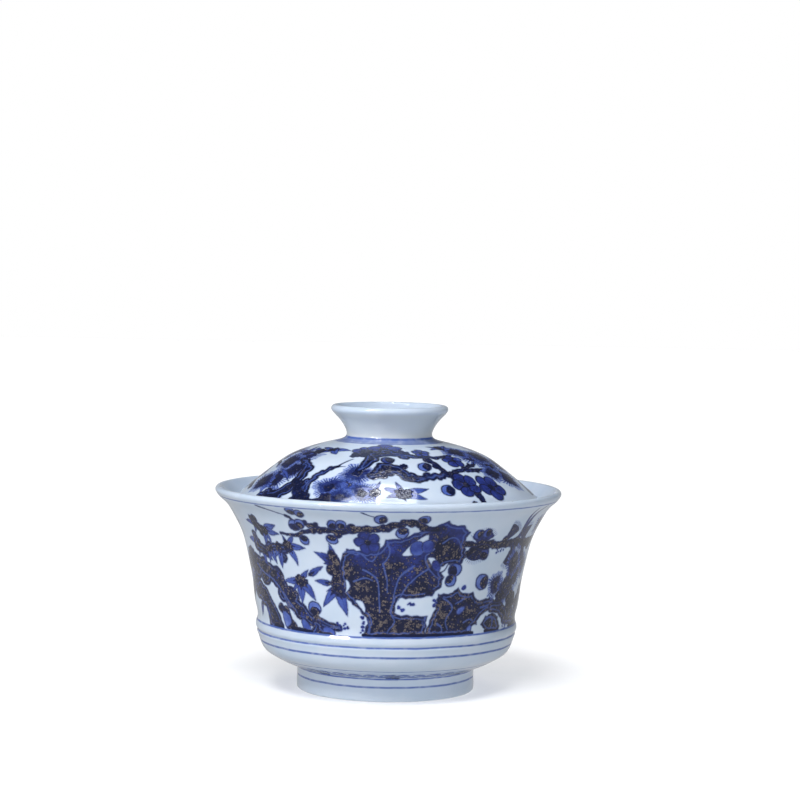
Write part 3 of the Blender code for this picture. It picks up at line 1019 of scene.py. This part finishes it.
PORCELAIN = linear(207, 221, 238)
PORCELAIN_COOL = linear(199, 216, 235)
# Painted shade: a darker, greyer glaze for the knob's downward-facing outer wall, in place of the shade
# that falls there.
KNOB_PAINTED_SHADE = linear(197, 207, 214)
PIN_SPOT = linear(120, 126, 132)
BARE_CLAY = linear(205, 196, 182)
HALO = linear(132, 156, 208)
WASH_PALE = linear(128, 152, 212)
WASH_MIDDLE = linear(72, 96, 178)
WASH_DEEP = linear(42, 57, 138)
WASH_DARK = linear(31, 41, 98)
HEAPED = linear(15, 23, 58)
CRUST_DARK = linear(58, 55, 66)
CRUST_PALE = linear(128, 118, 112)
OUTLINE = linear(30, 40, 92)
OUTLINE_BLACK = linear(15, 19, 48)
VEIN = linear(76, 100, 176)
RING = linear(76, 104, 180)
FLOOR_PALE = linear(232, 232, 233)
FLOOR_DULL = linear(229, 230, 231)

GLOSS = 0.06  # roughness of the clear glaze
CRUST_GLOSS = 0.12  # added where the cobalt is crusted
CLAY_GLOSS = 0.55  # added on bare clay
GLAZE_IOR = 1.47


class Nodes:
    """Builds a node tree, so that a chain of nodes reads as a formula."""

    def __init__(self, tree):
        self.tree = tree
        self.coordinates = self.add("TexCoord")
        self.place = self.coordinates.outputs["Object"]

    def put(self, socket, value):
        if isinstance(value, bpy.types.NodeSocket):
            self.tree.links.new(value, socket)
        else:
            socket.default_value = value

    def add(self, kind, inputs=None, **settings):
        """A node with its settings, and a value or a link for each input that is named."""
        node = self.tree.nodes.new("ShaderNode" + kind)
        for setting, value in settings.items():
            setattr(node, setting, value)
        for name, value in (inputs or {}).items():
            self.put(node.inputs[name], value)
        return node

    def layer(self, name):
        return self.add("Attribute", attribute_name=name).outputs["Fac"]

    def math(self, operation, *values):
        node = self.add("Math", operation=operation)
        for socket, value in zip(node.inputs, values):
            self.put(socket, value)
        return node.outputs[0]

    def plus(self, first, second):
        return self.math("ADD", first, second)

    def times(self, first, second):
        return self.math("MULTIPLY", first, second)

    def times_plus(self, first, second, third):
        return self.math("MULTIPLY_ADD", first, second, third)

    def ease(self, value, low, high):
        """0 at `low` and 1 at `high`, eased at both ends. `low` may be the greater."""
        ends = {"From Min": min(low, high), "From Max": max(low, high)}
        ends.update({"To Min": float(low > high), "To Max": float(low < high)})
        node = self.add("MapRange", {"Value": value, **ends}, interpolation_type="SMOOTHSTEP")
        return node.outputs["Result"]

    def noise(self, size, detail=2.0, roughness=0.5):
        """Noise from 0 to 1 whose blotches are about `size` millimetres."""
        inputs = {"Vector": self.place, "Scale": 1 / (size * MM), "Detail": detail}
        return self.add("TexNoise", {**inputs, "Roughness": roughness}).outputs["Fac"]

    def swing(self, amount, *noise):
        """Noise that swings by half of `amount` to each side of 0."""
        return self.times_plus(self.noise(*noise), amount, -amount / 2)

    def scatter(self, size):
        """Points about `size` millimetres apart: the distance to the nearest, and its own chance."""
        node = self.add("TexVoronoi", {"Vector": self.place, "Scale": 1 / (size * MM)})
        parts = self.add("SeparateColor", {"Color": node.outputs["Color"]})
        return node.outputs["Distance"], parts.outputs["Red"]

    def mix(self, share, first, second):
        inputs = {"Factor": share, "A": first, "B": second}
        return self.add("Mix", inputs, data_type="RGBA").outputs["Result"]

    def ramp(self, value, stops):
        node = self.add("ValToRGB", {"Fac": value})
        elements = node.color_ramp.elements
        while len(elements) < len(stops):
            elements.new(0.5)
        for element, (position, colour) in zip(elements, stops):
            element.position = position
            element.color = colour
        return node.outputs["Color"]

    def bump(self, height, strength, depth):
        inputs = {"Strength": strength, "Distance": depth * MM, "Height": height}
        return self.add("Bump", inputs).outputs["Normal"]

    def shade(self, values):
        """Sets what a material's surface shader takes."""
        surface = self.tree.nodes["Principled BSDF"]
        for name, value in values.items():
            self.put(surface.inputs[name], value)


def new_material(name):
    material = bpy.data.materials.new(name)
    material.use_nodes = True
    return material, Nodes(material.node_tree)


def porcelain_colour(nodes):
    """Bluish white glaze, a little cooler in patches, with a few iron pin spots."""
    body = nodes.mix(nodes.ease(nodes.noise(9.0, 3.0), 0.35, 0.7), PORCELAIN, PORCELAIN_COOL)
    spot = nodes.ease(nodes.scatter(7.0)[0], 0.030, 0.012)
    return nodes.mix(nodes.times(spot, 0.7), body, PIN_SPOT)


def band(nodes, start, end, soft):
    """1 between two places along the outline, and 0 beyond them."""
    along = nodes.layer("along")
    begun = nodes.ease(along, start - soft, start + soft)
    return nodes.times(begun, nodes.ease(along, end + soft, end - soft))


def ring_cover(nodes, rings):
    """How strongly painted rings cover each point. A ring is (place along, width, strength)."""
    along = nodes.plus(nodes.layer("along"), nodes.swing(0.24, 5.0, 1.0))
    shade = nodes.times_plus(nodes.ease(nodes.noise(2.2, 2.0), 0.2, 0.6), 0.35, 0.65)
    cover = None
    for place, width, strength in rings:
        gap = nodes.math("ABSOLUTE", nodes.math("SUBTRACT", along, place))
        stroke = nodes.times(nodes.ease(gap, width / 2 + 0.16, width / 2 - 0.12), strength)
        cover = stroke if cover is None else nodes.math("MAXIMUM", cover, stroke)
    return nodes.times(cover, shade)


def crust_cover(nodes, ink):
    """Where the cobalt is heaped: flecks and patches of crust, the dark rings round the flecks,
    and how heaped each place is. Ink past 2 has no crust."""
    heap = nodes.plus(ink, nodes.swing(0.7, 5.5, 1.5))
    heaped = nodes.times(nodes.ease(heap, 0.3, 0.9), nodes.ease(ink, 2.0, 1.8))
    distance, chance = nodes.scatter(0.78)
    reach = nodes.times(nodes.times(chance, heaped), 0.5)
    gap = nodes.plus(nodes.math("SUBTRACT", distance, reach), nodes.swing(0.7, 0.55, 2.0))
    fleck = nodes.times(nodes.ease(gap, 0.08, -0.12), heaped)
    ring = nodes.times(nodes.ease(gap, 0.5, 0.1), heaped)
    mass = nodes.times_plus(heap, 0.20, nodes.noise(2.0, 3.0, 0.6))
    patch = nodes.times(nodes.ease(mass, 0.76, 0.83), heaped)
    return nodes.math("MAXIMUM", fleck, patch), ring, heaped


def wash_colour(nodes, ink, crust, ring, strength):
    """Cobalt: a blue wash that pools, near black where it is heaped, under a brown-grey crust."""
    colour = nodes.ramp(nodes.plus(ink, nodes.swing(0.7, 2.6, 3.0, 0.55)), (
        (0.0, WASH_PALE), (0.3, WASH_MIDDLE), (0.58, WASH_DEEP), (0.82, WASH_DARK), (1.0, HEAPED),
    ))
    colour = nodes.mix(nodes.times(ring, 0.8), colour, HEAPED)
    grain = nodes.mix(nodes.ease(nodes.noise(0.4, 1.0), 0.35, 0.6), CRUST_DARK, CRUST_PALE)
    return nodes.mix(nodes.times(crust, strength), colour, grain)


def glaze(name, rings, strength, outline, bare=None, knob_shade=None):
    """Porcelain under a clear gloss glaze, with the painted layers and the rings.

    `strength` is how much the crust shows. `bare` and the last argument are stretches along the
    outline: bare clay, and the knob's outer wall, where the glaze is painted darker and greyer as
    painted shade.
    """
    material, nodes = new_material(name)
    fray = nodes.swing(0.28, 0.5, 2.0)
    ink = nodes.layer("ink")
    paint, line, vein = [nodes.plus(nodes.layer(layer), fray) for layer in ("paint", "line", "vein")]
    covered = nodes.ease(paint, 0.12, -0.12)

    crust, ring, heaped = crust_cover(nodes, ink)
    colour = porcelain_colour(nodes)
    # Painted shade: the knob's outer wall is mixed toward a darker, greyer colour.
    if knob_shade is not None:
        colour = nodes.mix(band(nodes, *knob_shade, 0.8), colour, KNOB_PAINTED_SHADE)
    bleed = nodes.ease(nodes.math("MINIMUM", paint, line), 0.5, -0.1)
    colour = nodes.mix(nodes.times(bleed, 0.6), colour, HALO)
    colour = nodes.mix(covered, colour, wash_colour(nodes, ink, crust, ring, strength))
    colour = nodes.mix(nodes.times(nodes.ease(vein, 0.16, -0.22), 0.7), colour, VEIN)
    colour = nodes.mix(nodes.times(nodes.ease(line, 0.14, -0.14), 0.9), colour, outline)
    colour = nodes.mix(ring_cover(nodes, rings), colour, RING)

    clotted = nodes.times(crust, covered)
    roughness = nodes.times_plus(clotted, CRUST_GLOSS, GLOSS)
    if bare is not None:
        clay = band(nodes, *bare, 0.1)
        colour = nodes.mix(clay, colour, BARE_CLAY)
        roughness = nodes.times_plus(clay, CLAY_GLOSS, roughness)
    wave = nodes.times(nodes.noise(6.0, 1.0), 0.5)
    grit = nodes.times(nodes.times(heaped, covered), nodes.noise(0.5, 1.0))
    height = nodes.times_plus(clotted, 0.4, nodes.times_plus(grit, 0.5, wave))
    nodes.shade({
        "Base Color": colour,
        "Roughness": roughness,
        "Normal": nodes.bump(height, 0.5, 0.14),
        "IOR": GLAZE_IOR,
        "Subsurface Weight": 0.08,
        "Subsurface Radius": (1.0, 1.1, 1.3),
        "Subsurface Scale": 0.6 * MM,
    })
    return material


# ---------------------------------------------------------------------------------------------
# The two skins.

LAND_HEIGHT = 0.06  # the part of the foot below this, in millimetres, is wiped bare


def joined_box(*names):
    boxes = [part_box(name) for name in names]
    low = Vector(map(min, *[box[0] for box in boxes]))
    high = Vector(map(max, *[box[1] for box in boxes]))
    return low, high


def skin_layers(profile, *canvases):
    """The painted layers, and how far each point is along the outline."""
    layers = {}
    for name in ("paint", "ink", "line", "vein"):
        layers[name] = np.full(profile.counts.sum(), 0.0 if name == "ink" else FAR)
        for canvas in canvases:
            painted = getattr(canvas, name).ravel()
            first = profile.starts[canvas.rings[0]]
            layers[name][first: first + painted.size] = painted
    layers["along"] = np.repeat(profile.along, profile.counts)
    return layers


def make_bowl():
    profile = Profile(BOWL_STRETCHES)
    profile.fit(*joined_box("bowl_body", "foot_ring"))
    wall = Canvas(profile, "wall", 1, seed=1)
    paint_wall(wall)
    under = Canvas(profile, "under", 0, seed=7)
    paint_under(under)
    skin = turned_skin("bowl_skin", profile, skin_layers(profile, wall, under))
    rings = (
        (profile.along_at("flare", height=56.3), 0.42, 0.85),
        (profile.along_at("wall", height=20.15), 0.50, 1.0),
        (profile.along_at("bead", height=17.2), 0.50, 0.95),
        (profile.along_at("bead", height=14.4), 0.62, 0.95),
        (profile.along_at("under", radius=32.8), 0.45, 0.9),
        (profile.along_at("under", radius=29.6), 5.4, 0.22),
        (profile.along_at("under", radius=26.1), 0.70, 1.0),
        (profile.along_at("foot", height=4.2), 0.50, 0.9),
    )
    foot = profile.rings("foot")
    land = foot[profile.points[foot, 1] < LAND_HEIGHT]
    bare = (profile.along[land[0]], profile.along[land[-1]])
    skin.data.materials.append(glaze("bowl_glaze", rings, 0.68, OUTLINE, bare))
    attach(skin, "bowl")
    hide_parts("bowl_body", "foot_ring")


def make_lid():
    profile = Profile(LID_STRETCHES)
    profile.fit(*joined_box("lid_dome", "lid_knob"))
    dome = Canvas(profile, "dome", 0, seed=4)
    paint_dome(dome)
    skin = turned_skin("lid_skin", profile, skin_layers(profile, dome))
    neck = profile.along_at("knob", height=73.2)
    rings = (
        (neck, 0.75, 1.0),
        (profile.along_at("dome", radius=14.0), 2.6, 0.8),
        (profile.along_at("dome", radius=15.5), 0.50, 1.0),
        (profile.along_at("edge", height=55.0), 0.30, 0.4),
    )
    # Painted shade on the knob's outer wall, from below the lip down to the neck.
    knob_shade = (profile.along_at("knob", height=80.6), neck)
    skin.data.materials.append(glaze("lid_glaze", rings, 0.18, OUTLINE_BLACK, knob_shade=knob_shade))
    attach(skin, "lid")
    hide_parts("lid_dome", "lid_knob")


# ---------------------------------------------------------------------------------------------
# Floor, light and camera.

FLOOR_SIDE = 6.0
WORLD_LOW = (0.53, 0.54, 0.56, 1.0)
WORLD_HIGH = (0.08, 0.085, 0.09, 1.0)
WHITE = (1.0, 1.0, 1.0)
CAMERA_DISTANCE = 0.693
CAMERA_HEIGHT = 0.123
CAMERA_SIDE = 0.0029
CAMERA_DIP = 3.23  # degrees below level
CAMERA_ROLL = 1.0
LENS = 107.7


def make_floor():
    material, nodes = new_material("pale_floor")
    colour = nodes.mix(nodes.ease(nodes.noise(18.0, 4.0), 0.3, 0.7), FLOOR_PALE, FLOOR_DULL)
    nodes.shade({"Base Color": colour, "Roughness": 0.9, "Specular IOR Level": 0.1})
    half = FLOOR_SIDE / 2
    corners = [(-half, -half, 0), (half, -half, 0), (half, half, 0), (-half, half, 0)]
    mesh = bpy.data.meshes.new("floor")
    mesh.from_pydata(corners, [], [(0, 1, 2, 3)])
    mesh.materials.append(material)
    floor = bpy.data.objects.new("floor", mesh)
    floor.visible_glossy = False
    floor.visible_diffuse = False
    bpy.context.scene.collection.objects.link(floor)


def lamp(name, kind, power, sight, lit):
    """A lamp that looks along `sight` and lights only the things that are named."""
    light = bpy.data.lights.new(name, kind)
    light.energy = power
    holder = bpy.data.objects.new(name, light)
    holder.rotation_euler = Vector(sight).to_track_quat("-Z", "Y").to_euler()
    bpy.context.scene.collection.objects.link(holder)
    receivers = bpy.data.collections.new(name + "_lights")
    for thing in lit:
        receivers.objects.link(bpy.data.objects[thing])
    holder.light_linking.receiver_collection = receivers
    return holder


def softbox(name, place, size, power, tint=WHITE, aim=(0, 0, 0.04), unseen=False, gloss=False):
    """A rectangular light for the porcelain only. An unseen one leaves no reflection in the
    glaze, and one for gloss leaves only that."""
    holder = lamp(name, "AREA", power, Vector(aim) - Vector(place), ("bowl_skin", "lid_skin"))
    holder.location = place
    holder.data.shape = "RECTANGLE"
    holder.data.size, holder.data.size_y = size
    holder.data.color = tint
    holder.visible_camera = False
    holder.visible_glossy = not unseen
    holder.visible_diffuse = not gloss


def sun(name, strength, direction, spread, shadow=True):
    """A distant light for the floor only."""
    light = lamp(name, "SUN", strength, direction, ("floor",)).data
    light.angle = math.radians(spread)
    light.use_shadow = shadow


def make_world():
    """A white surround for the camera. The porcelain sees a dim room above a paler floor."""
    world = bpy.data.worlds.new("studio")
    world.use_nodes = True
    nodes = Nodes(world.node_tree)
    parts = nodes.add("SeparateXYZ", {"Vector": nodes.coordinates.outputs["Generated"]})
    rise = nodes.ease(parts.outputs["Z"], -0.12, 0.35)
    room = world.node_tree.nodes["Background"]
    nodes.put(room.inputs["Color"], nodes.mix(rise, WORLD_LOW, WORLD_HIGH))
    backdrop = nodes.add("Background", {"Color": (*WHITE, 1.0)})
    choice = nodes.add("MixShader", {
        0: nodes.add("LightPath").outputs["Is Camera Ray"],
        1: room.outputs[0],
        2: backdrop.outputs[0],
    })
    nodes.put(world.node_tree.nodes["World Output"].inputs["Surface"], choice.outputs[0])
    bpy.context.scene.world = world


def make_lights():
    """Soft lights on the porcelain. On the floor, a wash without shadows, a broad sun with a faint
    shadow close to the foot, and a lower sun whose shadow falls behind and to the right."""
    cool = (0.92, 0.97, 1.0)
    bluish = (0.88, 0.93, 1.0)
    softbox("key", (-0.35, -0.49, 0.62), (0.18, 0.18), 4.0, (1.0, 0.95, 0.94))
    softbox("overhead", (-0.09, 0.045, 0.95), (0.54, 0.075), 1.25, bluish, (-0.09, -0.02, 0.04))
    softbox("core", (-0.055, 0.028, 0.94), (0.1, 0.025), 0.35, gloss=True)
    softbox("top_fill", (-0.15, -0.25, 0.9), (0.6, 0.6), 1.6, cool, unseen=True)
    softbox("left_fill", (-0.8, -0.8, 0.45), (0.7, 0.7), 1.1)
    softbox("right_fill", (1.1, 0.0, 0.45), (0.8, 0.8), 0.45, (0.82, 0.90, 1.0))
    softbox("glint", (-0.60, -0.67, 0.48), (0.3, 0.05), 10.0, (1.0, 0.97, 0.94), gloss=True)
    softbox("front_fill", (-0.25, -0.9, 0.35), (0.6, 0.4), 0.7, unseen=True)
    softbox("low_fill", (0.0, -0.85, 0.06), (1.2, 0.1), 2.5, unseen=True)
    softbox("back_fill", (0.3, 1.0, 0.5), (0.8, 0.8), 2.0, unseen=True)
    sun("floor_wash", 2.0, (0.0, 0.0, -1.0), 10, shadow=False)
    sun("floor_soft", 0.85, (0.0, 0.05, -1.0), 60)
    sun("floor_sun", 1.65, (0.10, 0.57, -0.81), 22)


def make_camera():
    camera = bpy.data.cameras.new("camera")
    camera.lens = LENS
    camera.sensor_width = 36.0
    camera.clip_start = 0.01
    holder = bpy.data.objects.new("camera", camera)
    dip = Matrix.Rotation(math.radians(90 - CAMERA_DIP), 4, "X")
    roll = Matrix.Rotation(math.radians(CAMERA_ROLL), 4, "Z")
    place = Matrix.Translation((CAMERA_SIDE, -CAMERA_DISTANCE, CAMERA_HEIGHT))
    holder.matrix_world = place @ dip @ roll
    bpy.context.scene.collection.objects.link(holder)
    bpy.context.scene.camera = holder


make_camera()
make_bowl()
make_lid()
make_floor()
make_world()
make_lights()
bpy.context.scene.view_settings.view_transform = "Standard"
